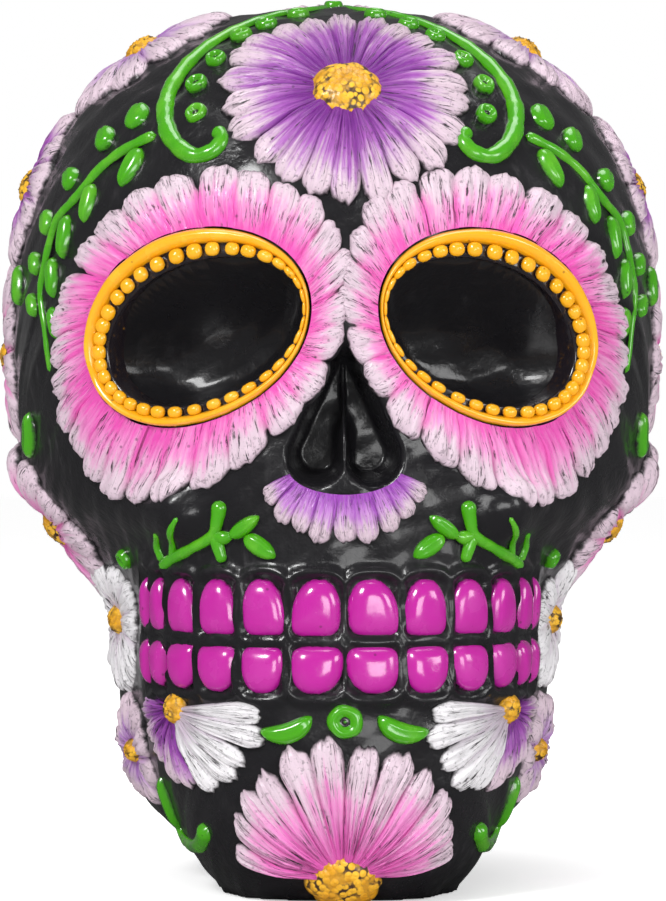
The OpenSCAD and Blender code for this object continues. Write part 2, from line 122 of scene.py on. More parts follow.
def reach(d, steps=20):
    """How far from the middle each ray leaves the skin."""
    low, high = np.full(d.shape[:-1], 15.0), np.full(d.shape[:-1], 130.0)
    for _ in range(steps):
        mid = (low + high) / 2
        inside = skin_field(MIDDLE + mid[..., None] * d) < 0
        low, high = np.where(inside, mid, low), np.where(inside, high, mid)
    return (low + high) / 2


def on_skin(az, el):
    d = ray(np.asarray(az, float), np.asarray(el, float))
    return MIDDLE + reach(d)[..., None] * d


def normal_at(p):
    step = 0.05
    here = skin_field(p)
    slope = np.stack([skin_field(p + step * axis) - here for axis in np.eye(3)], -1)
    return slope / np.linalg.norm(slope, axis=-1, keepdims=True)


class Patch:
    """A spot on the skin with its own right, up and outward directions."""

    def __init__(self, az, el):
        self.place = on_skin(az, el)
        self.out = normal_at(self.place)
        right = np.cross([0, 0, 1], self.out)
        self.right = right / np.linalg.norm(right)
        self.up = np.cross(self.out, self.right)

    def pressed(self, u, v, h):
        """Points at u across and v up on the patch's flat plane, pressed onto the skin and raised by h."""
        p = self.place + u[..., None] * self.right + v[..., None] * self.up
        n = normal_at(p)
        for _ in range(3):
            p = p - skin_field(p)[..., None] * n
        return p + h[..., None] * n


def hollow(p):
    """How deep the sockets and the nose opening are at points p of the bare skin."""
    patch = Patch(*EYE)
    x, z = np.abs(p[..., 0]), p[..., 2]
    off = np.stack([x, p[..., 1], z], -1) - patch.place
    half_w, half_h, middle_u, middle_v, slope = SOCKET
    across = off @ patch.right - middle_u
    up = off @ patch.up - middle_v - slope * across
    inside = np.clip(1 - (np.hypot(across / half_w, up / half_h) / SOCKET_RIM) ** 3, 0, 1)
    flat = np.stack([x, 0 * x, z], -1)
    nose_top, nose_bottom = (NOSE_TOP_X, 0, NOSE_TOP), (NOSE_LOBE_X, 0, NOSE_BOTTOM)
    nose = rod(flat, nose_top, nose_bottom, NOSE_TOP_R, NOSE_LOBE_R)
    septum = 0.4 * np.exp(-((x / 1.2) ** 2)) * smooth_step((NOSE_TOP - 8 - z) / 6)
    depth = SOCKET_DEPTH * inside**0.6 + NOSE_DEPTH * smooth_step(-nose / 1.5) * (1 - septum)
    return np.where(p[..., 1] < 0, depth, 0)


# ---------------------------------------------------------------- meshes

SEAT = 0.7   # how deep the edge of an applied piece sits in the skull, mm


class Relief:
    """Collects surfaces for one piece. Each point carries four paint values, from 0 to 1."""

    def __init__(self, mirrored=False):
        self.points, self.paint, self.faces = [], [], []
        self.count = 0
        self.side = -1 if mirrored else 1

    def grid(self, points, paint, around=False):
        """Adds a grid of points. Rows cross columns so that down the rows and along the columns
        faces outwards by the right-hand rule; around joins the last column to the first."""
        rows, columns = points.shape[:2]
        r, c = np.meshgrid(np.arange(rows - 1), np.arange(columns - (0 if around else 1)), indexing="ij")
        a = r * columns + c
        b = r * columns + (c + 1) % columns
        quads = np.stack([a, a + columns, b + columns, b], -1).reshape(-1, 4)
        self.faces.append((quads if self.side > 0 else quads[:, ::-1]) + self.count)
        self.points.append(points.reshape(-1, 3) * [self.side, 1, 1])
        self.paint.append(np.stack(np.broadcast_arrays(points[..., 0], *paint)[1:], -1).reshape(-1, 4))
        self.count += rows * columns

    def piece(self, name, material, slot, *nodes):
        """Makes the mesh object, which stands for the CAD nodes named."""
        mesh = bpy.data.meshes.new(name)
        faces = np.concatenate(self.faces)
        mesh.from_pydata((np.concatenate(self.points) * MM).tolist(), [], faces.tolist())
        layer = mesh.attributes.new("paint", "FLOAT_COLOR", "POINT")
        layer.data.foreach_set("color", np.concatenate(self.paint).astype(np.float32).ravel())
        mesh.materials.append(material)
        mesh.validate()
        mesh.shade_smooth()
        piece = bpy.data.objects.new(name, mesh)
        bpy.context.scene.collection.objects.link(piece)
        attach(piece, "root")
        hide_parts(*(nodes or [name]))
        return piece


def ripple(t, strengths, rates, phases):
    """A sum of sines, for edges and surfaces that look made by hand."""
    return sum(s * np.sin(r * t + p) for s, r, p in zip(strengths, rates, phases))


def oval(shape, a):
    """A point at angle a of an oval (half width, half height, middle across, middle up, slope)."""
    half_w, half_h, across, up, slope = shape
    a = np.radians(a)
    return across + half_w * np.cos(a), up + half_h * np.sin(a) + slope * half_w * np.cos(a)


# ---------------------------------------------------------------- materials


class Paint:
    """A short way to write the node tree of one painted surface."""

    def __init__(self, name, roughness, coat=0.0, specular=0.5):
        self.material = bpy.data.materials.new(name)
        self.material.use_nodes = True
        self.nodes = self.material.node_tree.nodes
        self.links = self.material.node_tree.links
        self.shader = self.nodes["Principled BSDF"]
        self.shader.inputs["Roughness"].default_value = roughness
        self.shader.inputs["Coat Weight"].default_value = coat
        self.shader.inputs["Coat Roughness"].default_value = 0.12
        self.shader.inputs["Specular IOR Level"].default_value = specular
        attribute = self.nodes.new("ShaderNodeAttribute")
        attribute.attribute_name = "paint"
        split = self.nodes.new("ShaderNodeSeparateColor")
        self.links.new(attribute.outputs["Color"], split.inputs["Color"])
        self.along, self.across, self.edge = split.outputs
        self.own = attribute.outputs["Alpha"]
        self.place = self.nodes.new("ShaderNodeTexCoord").outputs["Object"]
        parts = self.nodes.new("ShaderNodeSeparateXYZ")
        self.links.new(self.place, parts.inputs[0])
        self.xyz = parts.outputs

    def put(self, socket, value):
        if isinstance(value, bpy.types.NodeSocket):
            self.links.new(value, socket)
        else:
            socket.default_value = value

    def math(self, operation, a, b=0.0):
        node = self.nodes.new("ShaderNodeMath")
        node.operation = operation
        self.put(node.inputs[0], a)
        self.put(node.inputs[1], b)
        return node.outputs[0]

    def times(self, a, b):
        return self.math("MULTIPLY", a, b)

    def plus(self, a, b):
        return self.math("ADD", a, b)

    def most(self, a, b):
        return self.math("MAXIMUM", a, b)

    def swing(self, value, amount):
        """value, which runs from 0 to 1, as an offset of up to half of amount either way."""
        return self.times(self.math("SUBTRACT", value, 0.5), amount)

    def ramp(self, value, low, high, to_low=0.0, to_high=1.0):
        """value brought from low..high to to_low..to_high, smoothly."""
        node = self.nodes.new("ShaderNodeMapRange")
        node.interpolation_type = "SMOOTHSTEP"
        for socket, x in zip(node.inputs, (value, low, high, to_low, to_high)):
            self.put(socket, x)
        return node.outputs[0]

    def noise(self, scale, detail=3.0, vector=None, rough=0.55):
        node = self.nodes.new("ShaderNodeTexNoise")
        self.put(node.inputs["Vector"], vector or self.place)
        self.put(node.inputs["Scale"], scale)
        self.put(node.inputs["Detail"], detail)
        self.put(node.inputs["Roughness"], rough)
        return node.outputs["Fac"]

    def cells(self, scale, vector=None):
        node = self.nodes.new("ShaderNodeTexVoronoi")
        self.put(node.inputs["Vector"], vector or self.place)
        self.put(node.inputs["Scale"], scale)
        return node.outputs["Distance"]

    def vector(self, x, y, z):
        node = self.nodes.new("ShaderNodeCombineXYZ")
        for socket, value in zip(node.inputs, (x, y, z)):
            self.put(socket, value)
        return node.outputs[0]

    def mix(self, factor, a, b):
        node = self.nodes.new("ShaderNodeMix")
        node.data_type = "RGBA"
        self.put(node.inputs[0], factor)
        self.put(node.inputs[6], a)
        self.put(node.inputs[7], b)
        return node.outputs[2]

    def finish(self, colour, bump=None, depth=0.1, roughness=None):
        """depth is the height of the bump in millimetres."""
        self.put(self.shader.inputs["Base Color"], colour)
        if roughness is not None:
            self.put(self.shader.inputs["Roughness"], roughness)
        if bump is not None:
            node = self.nodes.new("ShaderNodeBump")
            node.inputs["Distance"].default_value = depth * MM
            self.links.new(bump, node.inputs["Height"])
            self.links.new(node.outputs[0], self.shader.inputs["Normal"])
        return self.material


WASH = (0.012, 0.009, 0.012, 1)   # the black paint left in the hollows


def petal_paint(name, base, middle, tip, reach_out=0.0):
    """Paint that fades along a petal, with black left in its cracks and round its tip."""
    p = Paint(name, 0.42, coat=0.2)
    streak = p.vector(p.times(p.across, 9.0), p.times(p.along, 1.6), p.times(p.own, 90.0))
    hairs = p.vector(p.times(p.across, 22.0), p.times(p.along, 3.0), p.times(p.own, 50.0))
    lines = p.noise(1.0, 4.0, streak, 0.62)
    fine = p.noise(1.0, 5.0, hairs, 0.7)
    grain = p.noise(600.0, 4.0)
    patches = p.noise(160.0, 3.0)
    # the three colours follow each other along the petal, with uneven borders
    uneven = p.plus(p.swing(lines, 1.0), p.times(p.own, 0.2))
    faded = p.plus(p.plus(p.along, uneven), p.swing(patches, 0.5))
    colour = p.mix(p.ramp(faded, 0.05 + reach_out, 0.5 + reach_out), base, middle)
    colour = p.mix(p.ramp(faded, 0.4 + reach_out, 0.85 + reach_out), colour, tip)
    # the base colour runs out along the valleys between petals
    from_middle = p.math("ABSOLUTE", p.math("SUBTRACT", p.across, 0.5))
    valley = p.times(p.ramp(from_middle, 0.26, 0.47), p.ramp(p.along, 0.35, 0.85, 0.75, 0.0))
    colour = p.mix(valley, colour, base)
    # black is left in thin cracks, in worn spots towards the tip, round the rim and in specks
    cracks = p.times(p.ramp(fine, 0.55, 0.61), p.ramp(patches, 0.4, 0.52))
    cracks = p.times(cracks, p.ramp(grain, 0.3, 0.55, 0.4, 1.0))
    worn = p.times(p.ramp(p.along, 0.45, 1.0), p.ramp(p.noise(1500.0, 4.0), 0.56, 0.66, 0.0, 0.6))
    rim = p.ramp(p.plus(p.edge, p.swing(grain, 0.3)), 0.82, 0.97)
    specks = p.ramp(p.cells(350.0), 0.05, 0.12, 0.5, 0.0)
    dark = p.most(p.most(p.most(cracks, worn), rim), specks)
    colour = p.mix(dark, colour, WASH)
    height = p.plus(p.times(grain, 0.25), p.times(p.plus(fine, lines), 0.5))
    return p.finish(colour, height, 0.5, p.ramp(grain, 0.3, 0.7, 0.34, 0.52))


def glossy_paint(name, colour, pale, wash_from=0.86, coat=0.9, roughness=0.22):
    """Thick glossy paint, paler where it is worn and black where its edge meets the skull."""
    p = Paint(name, roughness, coat)
    broad = p.noise(180.0, 3.0)
    fine = p.noise(1200.0, 3.0)
    mixed = p.mix(p.ramp(broad, 0.46, 0.72, 0.0, 0.5), colour, pale)
    rim = p.ramp(p.plus(p.edge, p.swing(fine, 0.16)), wash_from, 0.99)
    specks = p.ramp(p.cells(300.0), 0.05, 0.09, 0.5, 0.0)
    painted = p.mix(p.most(rim, specks), mixed, WASH)
    height = p.plus(broad, p.times(fine, 0.15))
    return p.finish(painted, height, 0.12, p.ramp(broad, 0.3, 0.7, 0.18, 0.3))


def skull_paint():
    """Gloss black with grey dry-brushing over the high spots and thin scratches."""
    p = Paint("skull_black", 0.3, coat=0.35, specular=0.35)
    broad = p.noise(60.0, 5.0, rough=0.6)
    fine = p.noise(1000.0, 4.0)
    strokes = p.vector(*[p.times(axis, rate) for axis, rate in zip(p.xyz, (420.0, 420.0, 60.0))])
    brushed = p.noise(1.0, 5.0, strokes, 0.65)
    grey = p.times(p.ramp(broad, 0.45, 0.7), p.ramp(brushed, 0.5, 0.72))
    grey = p.times(grey, p.ramp(p.edge, 0.05, 0.4, 1.0, 0.35))
    colour = p.mix(p.times(grey, 0.16), (0.009, 0.0085, 0.01, 1), (0.2, 0.19, 0.2, 1))
    height = p.plus(p.noise(220.0, 4.0), p.times(p.plus(fine, brushed), 0.16))
    return p.finish(colour, height, 0.35, p.ramp(broad, 0.3, 0.7, 0.2, 0.42))


def pitted_paint():
    """Rough mustard paint over a stippled surface, with dark pits."""
    p = Paint("flower_centre_yellow", 0.45, coat=0.3)
    pits = p.cells(900.0)
    clumps = p.noise(350.0, 4.0)
    colour = p.mix(p.ramp(clumps, 0.35, 0.65), (0.7, 0.33, 0.006, 1), (0.84, 0.47, 0.014, 1))
    dark = p.times(p.ramp(pits, 0.46, 0.66), p.ramp(clumps, 0.42, 0.6, 0.25, 1.0))
    dark = p.most(dark, p.ramp(p.edge, 0.88, 1.0))
    colour = p.mix(dark, colour, (0.06, 0.025, 0.008, 1))
    return p.finish(colour, p.math("SUBTRACT", clumps, pits), 0.4, p.ramp(clumps, 0.3, 0.7, 0.35, 0.6))


def plug_paint():
    p = Paint("plug_card", 0.85)
    fibres = p.noise(900.0, 5.0)
    colour = p.mix(p.ramp(fibres, 0.35, 0.65), (0.16, 0.1, 0.055, 1), (0.3, 0.2, 0.12, 1))
    return p.finish(colour, fibres, 0.15)


PALE_TIP = (0.64, 0.5, 0.58, 1)
PINK = petal_paint("petal_pink", (0.72, 0.065, 0.4, 1), (0.74, 0.24, 0.52, 1), PALE_TIP, -0.04)
CHIN_PINK = petal_paint("petal_chin_pink", (0.72, 0.1, 0.44, 1), (0.74, 0.22, 0.52, 1), PALE_TIP, 0.06)
PURPLE = petal_paint("petal_purple", (0.18, 0.01, 0.26, 1), (0.36, 0.09, 0.43, 1), PALE_TIP, 0.05)
NOSE_PURPLE = petal_paint("petal_nose_purple", (0.3, 0.04, 0.42, 1), (0.5, 0.2, 0.58, 1), PALE_TIP, 0.05)
LILAC = petal_paint("petal_lilac", (0.3, 0.08, 0.42, 1), (0.5, 0.3, 0.56, 1), PALE_TIP, -0.1)
WHITE = petal_paint("petal_white", (0.6, 0.5, 0.6, 1), (0.72, 0.7, 0.72, 1), (0.76, 0.74, 0.76, 1))
AMBER = glossy_paint("ring_amber", (0.8, 0.36, 0.006, 1), (0.84, 0.46, 0.02, 1))
MAGENTA = glossy_paint("tooth_magenta", (0.42, 0.01, 0.265, 1), (0.47, 0.03, 0.31, 1), 0.9, 1.0, 0.16)
GREEN = glossy_paint("leaf_green", (0.05, 0.3, 0.003, 1), (0.13, 0.44, 0.015, 1))
YELLOW = pitted_paint()
BLACK = skull_paint()

# ---------------------------------------------------------------- teeth and gums

TOOTH_GAPS = (0, 9.1, 17.3, 25.4, 33, 38.8, 43)   # az between the teeth of one side
BITE_Z = 42.2
UPPER, LOWER = "upper", "lower"
TOOTH_LENGTH = {UPPER: 9.6, LOWER: 8.0}
BITE_GAP = 0.3
TOOTH_H = 2.0


def tooth_places(row):
    """(patch, width) of each tooth on the right side of a row."""
    middle_z = BITE_Z + (BITE_GAP + TOOTH_LENGTH[row] / 2) * (1 if row == UPPER else -1)
    places = []
    for a, b in zip(TOOTH_GAPS, TOOTH_GAPS[1:]):
        level = np.linalg.norm(on_skin((a + b) / 2, -30) - MIDDLE) * math.cos(math.radians(30))
        el = -math.degrees(math.atan((MIDDLE[2] - middle_z) / level))
        width = np.linalg.norm(on_skin(b, el) - on_skin(a, el)) - 0.7
        places.append((Patch((a + b) / 2, el), width))
    return places


def tooth_outline(a, row):
    """The outline of a tooth one unit wide and long, narrower at the root."""
    c, s = np.cos(a), np.sin(a)
    root = s if row == UPPER else -s
    taper = 0.15 if row == UPPER else 0.1
    across = np.sign(c) * np.abs(c) ** np.where(root > 0, 0.75, 0.55) * (1 - taper * root - 0.04 * root**2)
    up = np.sign(s) * np.abs(s) ** np.where(root > 0, 0.95, 0.55)
    return 0.5 * across, 0.5 * up


def teeth(row):
    rings = np.concatenate([np.linspace(0, 0.8, 7), np.linspace(0.86, 1, 6)])
    angles = np.linspace(0, 2 * math.pi, 48, endpoint=False)
    q, a = np.meshgrid(rings, angles, indexing="ij")
    across, up = tooth_outline(a, row)
    work = Relief()
    for side in (-1, 1):
        work.side = side
        for patch, width in tooth_places(row):
            lean = random.uniform(-0.25, 0.25)
            own = random.uniform()
            wide = (width + 0.35) * random.uniform(0.95, 1.03)
            tilt = random.uniform(-0.12, 0.12) * (1 if row == UPPER else 0.5)
            dome = (1 - q**3.4) ** 0.55
            h = -SEAT + (TOOTH_H + SEAT) * dome + (0.3 * up + lean * across) * q * dome
            work.grid(
                patch.pressed((across * wide + up * tilt * wide) * q, up * q * TOOTH_LENGTH[row], h),
                (0.5 + 0.5 * up, 0.5 + across, q, own),
                around=True,
            )
    return work.piece(f"{row}_teeth", MAGENTA, "magenta")


def gum_height(p):
    """How far the gums swell out round the teeth, at points p of the skull."""
    q = np.concatenate([np.abs(p[..., :1]), p[..., 1:]], -1)
    swell = np.zeros(p.shape[:-1])
    for row in (UPPER, LOWER):
        for patch, width in tooth_places(row):
            off = q - patch.place
            u, v, depth = off @ patch.right, off @ patch.up, off @ patch.out
            box = (np.abs(u / (0.5 * width)) ** 3 + np.abs(v / (0.5 * TOOTH_LENGTH[row])) ** 3) ** (1 / 3)
            gap = (box - 1) * 0.5 * min(width, TOOTH_LENGTH[row])
            ridge = np.exp(-(((gap - 0.9) / 0.6) ** 2)) * np.exp(-((depth / 6) ** 2))
            swell = np.maximum(swell, ridge)
    return 1.1 * swell


# ---------------------------------------------------------------- the casting

COLUMNS = 380
CROWDING = 34    # how far the columns are drawn towards the face, in degrees
# rows from the crown down, as [from el, to el, rows], closest at the mouth; the last span ends at the hole
FIRST_SPANS = ((90, 36, 48), (36, -5, 66), (-5, -46, 88))
LAST_ROWS = 56
FOOT_H = 0.6     # what is lower than this is flattened onto the ground
POUR_HOLE_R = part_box("base_plug")[1].x / MM + 0.1
PLUG_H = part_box("base_plug")[1].z / MM


def skull():
    turn = np.linspace(0, 1, COLUMNS, endpoint=False)
    az = 360 * turn - CROWDING * np.sin(2 * math.pi * turn)
    hole_el = -math.degrees(math.atan(MIDDLE[2] / POUR_HOLE_R))
    spans = [*FIRST_SPANS, (FIRST_SPANS[-1][1], hole_el, LAST_ROWS)]
    el = np.concatenate([np.linspace(a, b, n, endpoint=False) for a, b, n in spans] + [[hole_el]])
    d = ray(az[None, :], el[:, None])
    skin = MIDDLE + reach(d)[..., None] * d
    n = normal_at(skin)
    depth = hollow(skin)
    p = skin - depth[..., None] * d
    sunk = np.clip(depth / 6, 0, 1)
    # a slight unevenness all over, and the gums round the teeth
    h = 0.16 * ripple(p @ [0.31, 0.17, 0.23], (1, 0.7), (1.0, 2.1), (0.3, 1.7))
    h += 0.1 * ripple(p @ [-0.27, 0.45, 0.52], (1, 0.6), (1.3, 2.9), (2.1, 0.4))
    near_mouth = (p[..., 2] > 26) & (p[..., 2] < 60) & (p[..., 1] < -12)
    h[near_mouth] += gum_height(p[near_mouth])
    p = p + h[..., None] * n
    p[p[..., 2] < FOOT_H, 2] = 0
    p[-1] = [[x, y, 0] for x, y, _ in p[-1]]
    throat = p[-1:] + [0, 0, PLUG_H]
    p = np.concatenate([p, throat])
    sunk = np.concatenate([sunk, np.ones((1, COLUMNS))])
    work = Relief()
    work.grid(p, (0.0, 0.0, sunk, 0.0), around=True)
    return work.piece("skull_shell", BLACK, "black_gloss")


# ---------------------------------------------------------------- eye rings

EYE_PETAL_TIPS = (33.5, 28, 5.6, 1, -0.25)
BEADS = 36
BEAD_LINE = 0.26   # where the beads stand, as a part of the way out across the ring
# the ring's section from the socket outwards: [part of the way out, height, black left in it]
RING_SECTION = np.array([
    (0.1, -4.0, 1), (0, -1.2, 1), (-0.02, 0.0, 1), (0.05, 0.3, 1), (0.3, 0.35, 1), (0.46, 0.4, 1),
    (0.5, 0.7, 0.95), (0.53, 1.3, 0.4), (0.62, 2.0, 0), (0.77, 2.3, 0), (0.9, 2.0, 0), (1.0, 1.2, 0.3),
    (1.05, 0.3, 0.95), (1.05, -0.7, 1),
])


def ring_point(patch, a, out, h):
    """A point of the eye ring at angle a, part of the way out, and its width there."""
    inner_u, inner_v = oval(SOCKET, a)
    outer_u, outer_v = oval(LIP, a)
    width = np.hypot(outer_u - inner_u, outer_v - inner_v)
    low = 0.5 + 0.5 * np.clip(width / 4.8, 0, 1)
    u = inner_u + (outer_u - inner_u) * out
    v = inner_v + (outer_v - inner_v) * out
    return patch.pressed(u, v, np.where(h > 0, h * low, h)), width


def eye_ring(side_name, mirrored):
    patch = Patch(*EYE)
    steps = np.linspace(0, 1, len(RING_SECTION))
    fine = np.linspace(0, 1, 3 * len(RING_SECTION))
    out, h, wash = (np.interp(fine, steps, column) for column in RING_SECTION.T)
    a = np.linspace(0, 360, 200, endpoint=False)
    h, a_grid = np.meshgrid(h, a, indexing="ij")
    out = np.broadcast_to(out[:, None], h.shape)
    wobble = 0.08 * ripple(np.radians(a_grid), (1, 0.8, 0.5), (5, 9, 14), (0.4, 1.1, 2.5)) * (h > 0.5)
    points, _ = ring_point(patch, a_grid, out, h + wobble)
    work = Relief(mirrored)
    work.grid(points, (0.0, 0.0, wash[:, None], 0.0), around=True)
    return work.piece(f"eye_ring_{side_name}", AMBER, "amber")


def eye_beads(side_name, mirrored):
    patch = Patch(*EYE)
    work = Relief(mirrored)
    polar = np.linspace(0, math.pi, 9)
    turn = np.linspace(0, 2 * math.pi, 14, endpoint=False)
    polar, turn = np.meshgrid(polar, turn, indexing="ij")
    for i in range(BEADS):
        a = np.array(360 * (i + random.uniform(-0.08, 0.08)) / BEADS)
        middle, width = ring_point(patch, a, np.array(BEAD_LINE), np.array(1.0))
        ahead, _ = ring_point(patch, a + 1, np.array(BEAD_LINE), np.array(1.0))
        along = (ahead - middle) / np.linalg.norm(ahead - middle)
        up = normal_at(middle)
        outward = np.cross(along, up)
        size = random.uniform(0.94, 1.06)
        squareness = 0.82
        x = np.sign(np.cos(turn)) * np.abs(np.cos(turn)) ** squareness * np.sin(polar)
        y = np.sign(np.sin(turn)) * np.abs(np.sin(turn)) ** squareness * np.sin(polar)
        points = (
            middle
            + (x * min(1.25, 0.26 * width) * size)[..., None] * outward
            + (y * 1.28 * size)[..., None] * along
            + (np.cos(polar) * min(1.05, 0.4 * width) * size)[..., None] * up
        )
        low = np.clip(0.75 - 0.5 * np.cos(polar), 0, 1)
        work.grid(points, (0.0, 0.0, low, 0.0), around=True)
    return work.piece(f"eye_beads_{side_name}", AMBER, "amber")


# ---------------------------------------------------------------- flowers

PETAL_H = 1.7
RIDGE_H, GROOVE_DEPTH, GROOVE_HALF_W = 0.18, 0.4, 0.07
GROOVES = 3   # deep grooves on each petal


def petals(work, az, el, inner, outer, count, a0=0, a1=360, first=0, last=None, height=PETAL_H):
    """Adds the petals from first to last of a ring that runs from angle a0 to a1. They run together at
    their roots and part towards their tips."""
    patch = Patch(az, el)
    pitch = (a1 - a0) / count
    closed = a1 - a0 >= 360
    tip_rows = 0.66 + 0.34 * np.sin(np.linspace(0, math.pi / 2, 9)[1:])
    rows = np.concatenate([np.linspace(0, 0.66, 10), tip_rows])
    columns = np.sin(np.linspace(-math.pi / 2, math.pi / 2, 27))
    s, t = np.meshgrid(rows, columns, indexing="ij")
    tip = np.clip((s - 0.68) / 0.32, 0, 1)
    parting = smooth_step((s - 0.25) / 0.45)
    for k in range(first, count if last is None else last):
        own = random.uniform()
        middle = a0 + (k + 0.5 + random.uniform(-0.09, 0.09)) * pitch
        length = 1 + random.uniform(-0.08, 0.06)
        blunt = random.uniform(2.1, 3.2)
        ragged = 1 + 0.018 * ripple(t, (1, 0.8), (5, 9), random.uniform(0, 6, 2)) * tip
        width = (1 - tip**blunt) ** (1 / blunt)
        width = width * (1 + 0.03 * ripple(s, (1, 0.6), (9, 17), (own * 6, own * 20)))
        sway = 0.12 * pitch * random.uniform(-1, 1) * s**2
        a = middle + sway + 0.57 * pitch * t * width
        inner_u, inner_v = oval(inner, a)
        outer_u, outer_v = oval(outer, a)
        u = inner_u + (outer_u - inner_u) * s * length * ragged
        v = inner_v + (outer_v - inner_v) * s * length * ragged
        free = (not closed) and ((k == 0) * (t < 0) + (k == count - 1) * (t > 0))
        side = np.abs(t) * np.maximum(0.66 + 0.34 * parting, free)
        edge = np.minimum((side**3.5 + tip**3.5) ** (1 / 3.5), 1)
        dome = (1 - edge**3) ** 0.6
        rise = 0.55 + 0.45 * smooth_step(s / 0.45) - 0.15 * smooth_step((s - 0.6) / 0.4)
        rise = rise + 0.1 * (k % 2) + random.uniform(-0.06, 0.06)
        bend = 0.1 * np.sin(4 * s + 9 * own)
        ridges = ripple(t + bend, (1, 0.8, 0.6), (9, 15, 24), random.uniform(0, 6, 3)) * smooth_step(s / 0.2)
        grooves = np.zeros_like(s)
        for _ in range(GROOVES):
            start, end = random.uniform(0.1, 0.6), random.uniform(0.65, 1)
            line = np.exp(-(((t - random.uniform(-0.7, 0.7) - bend) / GROOVE_HALF_W) ** 2))
            line = line * smooth_step((s - start) / 0.1) * smooth_step((end - s) / 0.1)
            grooves = np.maximum(grooves, line)
        h = -SEAT + (height * rise + SEAT + RIDGE_H * ridges - GROOVE_DEPTH * grooves) * dome
        h += random.uniform(-0.2, 0.2) * t * dome
        rim = np.clip(np.maximum(edge * (0.55 + 0.45 * parting), 0.95 * grooves), 0, 1)
        points = patch.pressed(u, v, h)
        points[..., 2] = np.maximum(points[..., 2], 0)
        work.grid(points, (s, 0.5 + 0.5 * t, rim, own))


def button(work, az, el, r, h, bumps=0.25):
    """Adds a domed flower centre, stippled by hand. The ground cuts off what would be below it."""
    patch = Patch(az, el)
    rings = np.concatenate([np.linspace(0, 0.9, 14), np.linspace(0.94, 1, 4)])
    angles = np.linspace(0, 2 * math.pi, 56, endpoint=False)
    q, a = np.meshgrid(rings, angles, indexing="ij")
    uneven = 1 + 0.035 * ripple(a, (1, 0.7, 0.5), (5, 8, 13), random.uniform(0, 6, 3))
    dome = (1 - q**3) ** 0.55
    stipple = random.normal(0, bumps * 0.5, q.shape)
    stipple[0] = stipple[0, 0]
    height = -SEAT + (h + SEAT) * dome * (0.9 + 0.1 * np.cos(q * 2)) + stipple * dome
    u, v = r * q * uneven * np.cos(a), r * q * uneven * np.sin(a)
    points = patch.pressed(u, v, height)
    points[..., 2] = np.maximum(points[..., 2], 0)
    work.grid(points, (q, 0.0, q, 0.0), around=True)


def round_oval(r):
    return (r, r, 0, 0, 0)


# ---------------------------------------------------------------- green relief


def smoothed(points, steps):
    """A smooth line through points."""
    p = np.array(points, float)
    line = []
    for i in range(len(p) - 1):
        a, b, c, d = p[max(i - 1, 0)], p[i], p[i + 1], p[min(i + 2, len(p) - 1)]
        for t in np.arange(steps) / steps:
            cubic = 2 * b + t * (c - a) + t**2 * (2 * a - 5 * b + 4 * c - d) + t**3 * (3 * b - a - 3 * c + d)
            line.append(0.5 * cubic)
    return np.array(line + [p[-1]])


def stem(work, way, widths, steps=8):
    """Adds a rounded stem along [az, el] points, as thick as widths at its start, middle and end."""
    line = smoothed(way, steps)
    spots = on_skin(line[:, 0], line[:, 1])
    normals = normal_at(spots)
    along = np.gradient(spots, axis=0)
    along /= np.linalg.norm(along, axis=1, keepdims=True)
    side = np.cross(along, normals)
    t = np.linspace(0, 1, len(line))
    gone = np.concatenate([[0], np.cumsum(np.linalg.norm(np.diff(spots, axis=0), axis=1))])
    first, middle, last = widths
    start_half = first + (middle - first) * smooth_step(2 * t)
    end_half = middle + (last - middle) * smooth_step(2 * t - 1)
    thick = np.where(t < 0.5, start_half, end_half)
    thick = thick * (1 + 0.05 * ripple(gone, (1, 0.6), (1.1, 2.3), (0.3, 2)))
    to_end = np.minimum(gone, gone[-1] - gone)
    rounded = np.sqrt(np.clip(1 - (1 - np.clip(to_end / (0.9 * thick), 0, 1)) ** 2, 0.0, 1))
    r = thick * rounded
    turn = np.linspace(0, 2 * math.pi, 20, endpoint=False)
    hoop = np.cos(turn)[None, :, None] * side[:, None] + np.sin(turn)[None, :, None] * normals[:, None]
    points = spots[:, None] + r[:, None, None] * hoop
    low = np.clip(1 - 0.75 * np.sin(turn), 0, 1)[None, :]
    work.grid(points, (t[:, None], 0.0, low, 0.0), around=True)


def leaf(work, az, el, length, width, turn, curl=0.0, height=1.5):
    """Adds a plump leaf round az, el that points at angle turn."""
    patch = Patch(az, el)
    rows = 0.5 - 0.5 * np.cos(np.linspace(0, math.pi, 19))
    columns = np.sin(np.linspace(-math.pi / 2, math.pi / 2, 15))
    s, t = np.meshgrid(rows, columns, indexing="ij")
    a = np.radians(turn + curl * (s - 0.5))
    half = 0.58 * width * np.sin(math.pi * s**0.85) ** 0.48
    reach_out = 1.08 * length * (s - 0.5)
    u = reach_out * np.cos(a) - half * t * np.sin(a)
    v = reach_out * np.sin(a) + half * t * np.cos(a)
    edge = np.minimum((np.abs(t) ** 3 + np.abs(2 * s - 1) ** 5) ** (1 / 3), 1)
    dome = (1 - edge**2.6) ** 0.55
    h = -SEAT + (height + SEAT) * dome - 0.22 * np.exp(-((t / 0.16) ** 2)) * dome * smooth_step(s / 0.3)
    work.grid(patch.pressed(u, v, h), (s, 0.5 + 0.5 * t, edge, 0.0))


# a ringed dot's section from its middle outwards: [part of the radius, height, black left in it]
DOT_SECTION = np.array([
    (0, 0.7, 0.9), (0.14, 0.6, 1), (0.26, 0.6, 1), (0.36, 0.85, 0.6), (0.46, 1.15, 0), (0.62, 1.35, 0),
    (0.78, 1.25, 0), (0.9, 0.9, 0.2), (0.97, 0.4, 0.9), (1, -0.7, 1),
])


